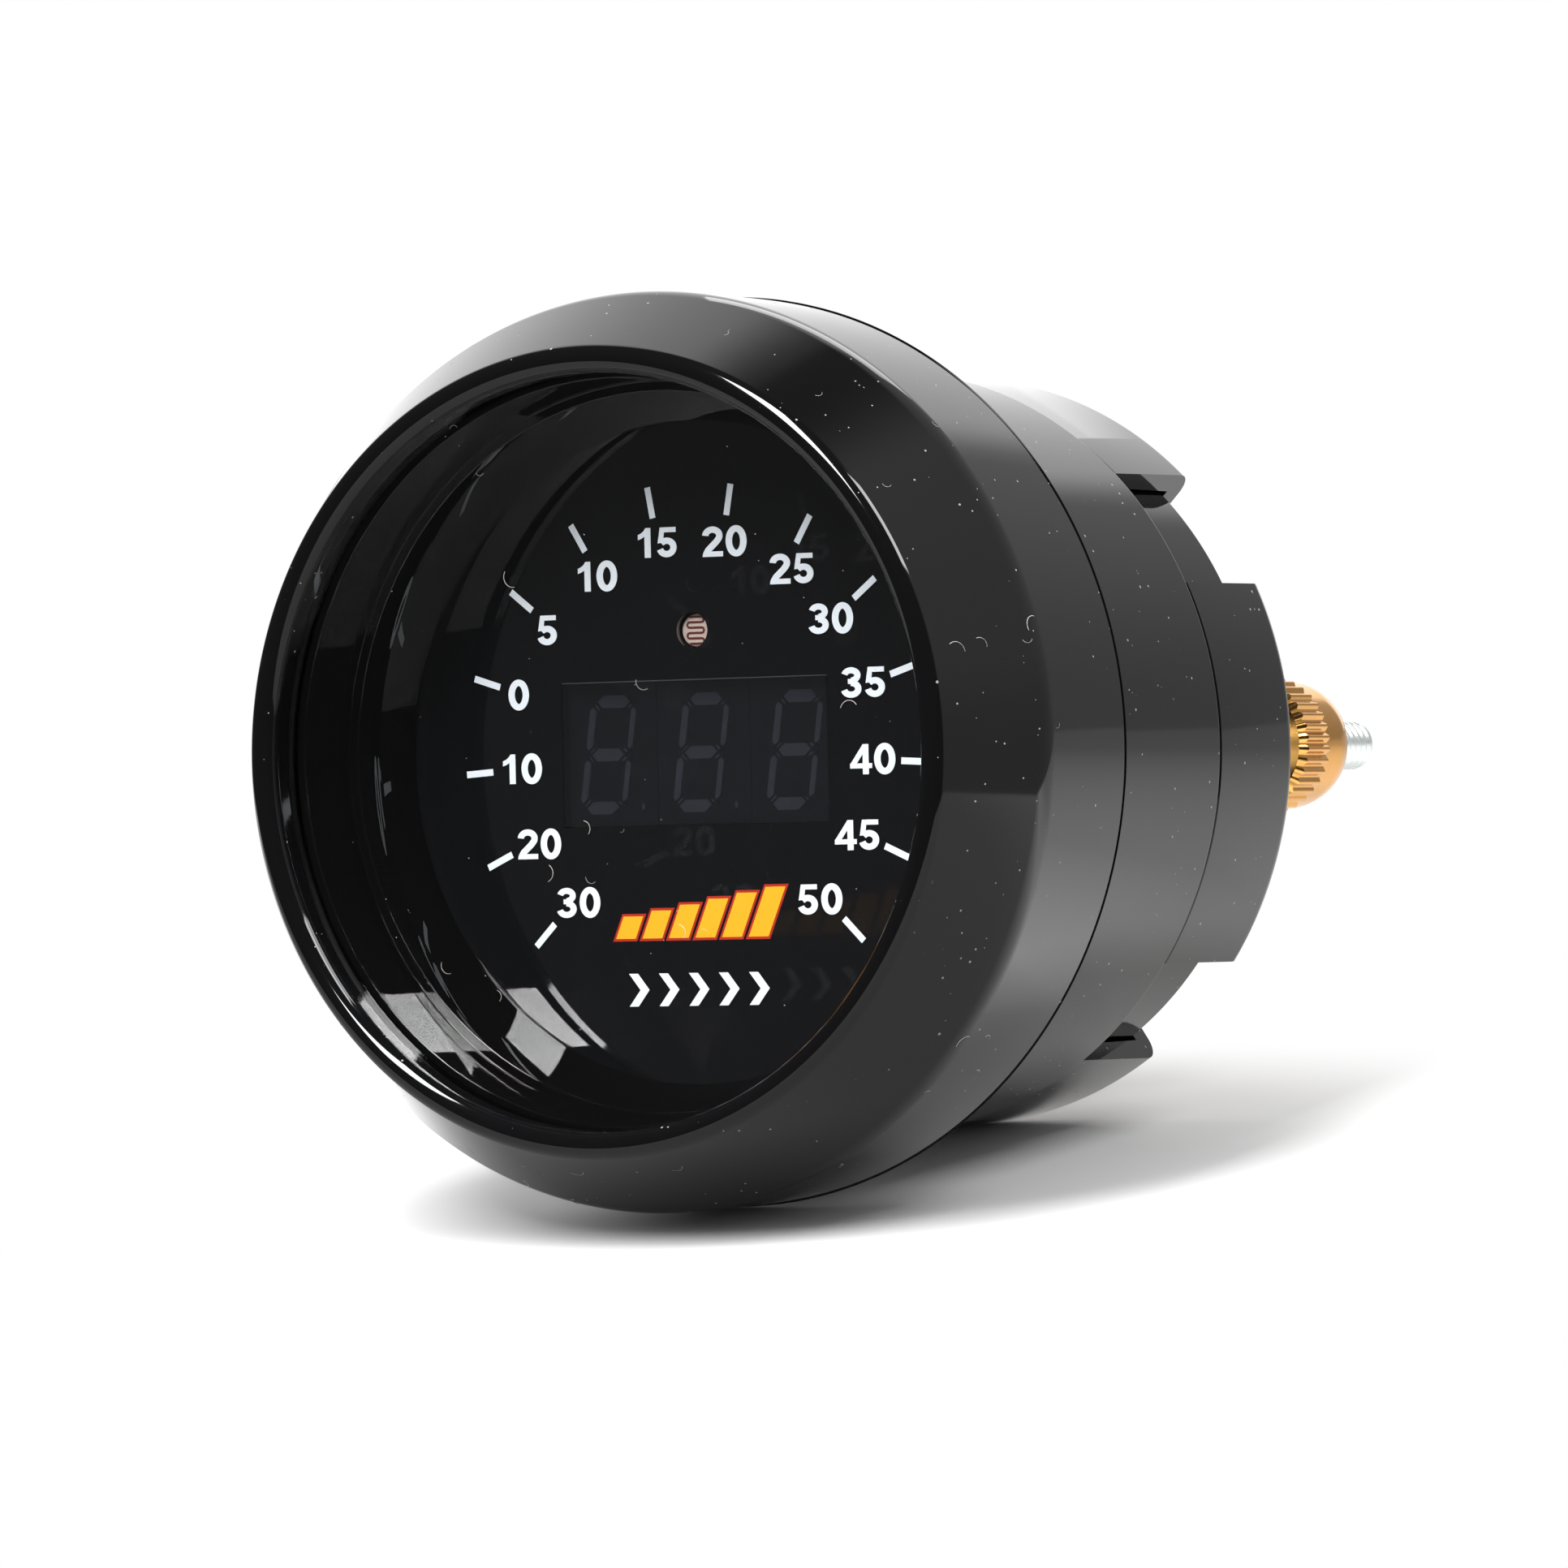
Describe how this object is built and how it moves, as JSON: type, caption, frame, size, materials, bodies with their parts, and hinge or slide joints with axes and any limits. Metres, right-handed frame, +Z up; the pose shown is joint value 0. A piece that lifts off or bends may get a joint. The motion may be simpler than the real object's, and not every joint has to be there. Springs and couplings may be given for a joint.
{
  "type": "boost gauge",
  "caption": "Round panel-mounted digital boost gauge: black screw-on bezel, clear lens over a numbered dial, stepped cup housing, four-tabbed bracket on studs with domed brass thumb nuts.",
  "frame": {"origin": "on the gauge's axis, in the plane of the flange that bears on the panel's front face", "axes": "+Y along the axis from the dial to the studs, +Z up the dial, +X to the right as the dial is read"},
  "size_m": [0.0612, 0.0744, 0.0612],
  "materials": {
    "bezel_black": "glossy moulded ABS",
    "housing_black": "glossy moulded ABS",
    "bracket_black": "glossy moulded ABS",
    "clear_lens": "clear moulded acrylic, polished",
    "gasket_rubber": "matte rubber",
    "ring_black": "semi-gloss moulded plastic",
    "dial_black": "screen-printed sheet, semi-matte",
    "smoked_pane": "smoked acrylic, polished",
    "shroud_black": "matte moulded plastic",
    "digit_grey": "grey epoxy face, unlit",
    "sensor_ceramic": "ceramic with a red-brown track",
    "lamp_white": "translucent lamp body",
    "board_green": "solder mask",
    "chip_black": "moulded epoxy",
    "header_black": "moulded nylon",
    "spacer_brass": "turned",
    "screw_steel": "zinc plated",
    "can_steel": "drawn can",
    "ferrite": "pressed ferrite",
    "can_aluminium": "drawn can",
    "socket_white": "moulded nylon",
    "contact_brass": "tinned brass",
    "switch_blue": "moulded plastic",
    "rotor_white": "moulded plastic",
    "zinc_steel": "bright zinc plate",
    "nut_brass": "turned and polished, lacquered"
  },
  "bodies": {
    "case": {"lens_gasket": "gasket_rubber", "spacer_ring": "ring_black", "faceplate": "dial_black", "display_pane": "smoked_pane", "light_shroud": "shroud_black", "display_digit_left": "digit_grey", "display_digit_middle": "digit_grey", "display_digit_right": "digit_grey", "light_sensor": "sensor_ceramic", "scale_lamps": "lamp_white", "display_board": "board_green", "lamp_drivers": "chip_black", "board_header": "header_black", "header_socket": "header_black", "board_spacers": "spacer_brass", "board_screws": "screw_steel", "main_board": "board_green", "microcontroller": "chip_black", "crystal": "can_steel", "voltage_regulator": "chip_black", "choke": "ferrite", "capacitors": "can_aluminium", "power_socket": "socket_white", "power_contacts": "contact_brass", "sensor_socket": "header_black", "sensor_contacts": "contact_brass", "selector_switch": "switch_blue", "housing": "housing_black", "stud_right": "zinc_steel", "stud_left": "zinc_steel"},
    "bezel_ring": {"bezel": "bezel_black", "lens": "clear_lens"},
    "bracket": {"mounting_bracket": "bracket_black"},
    "nut_right": {"thumb_nut_right": "nut_brass"},
    "nut_left": {"thumb_nut_left": "nut_brass"},
    "rotor": {"selector_rotor": "rotor_white"}
  },
  "joints": [
    {"name": "bezel_unscrew", "type": "hinge", "parent": "case", "child": "bezel_ring", "pos_m": [0, -0.01, 0], "axis": [0, -1, 0], "range_deg": [0, 540]},
    {"name": "bracket_slide", "type": "slide", "parent": "case", "child": "bracket", "axis": [0, 1, 0], "range_m": [0, 0.0073]},
    {"name": "nut_right_turn", "type": "hinge", "parent": "case", "child": "nut_right", "pos_m": [0.0177, 0.042, 0], "axis": [0, 1, 0], "continuous": true},
    {"name": "nut_left_turn", "type": "hinge", "parent": "case", "child": "nut_left", "pos_m": [-0.0177, 0.042, 0], "axis": [0, 1, 0], "continuous": true},
    {"name": "selector_turn", "type": "hinge", "parent": "case", "child": "rotor", "pos_m": [0, 0.0235, 0], "axis": [0, 1, 0], "continuous": true}
  ]
}
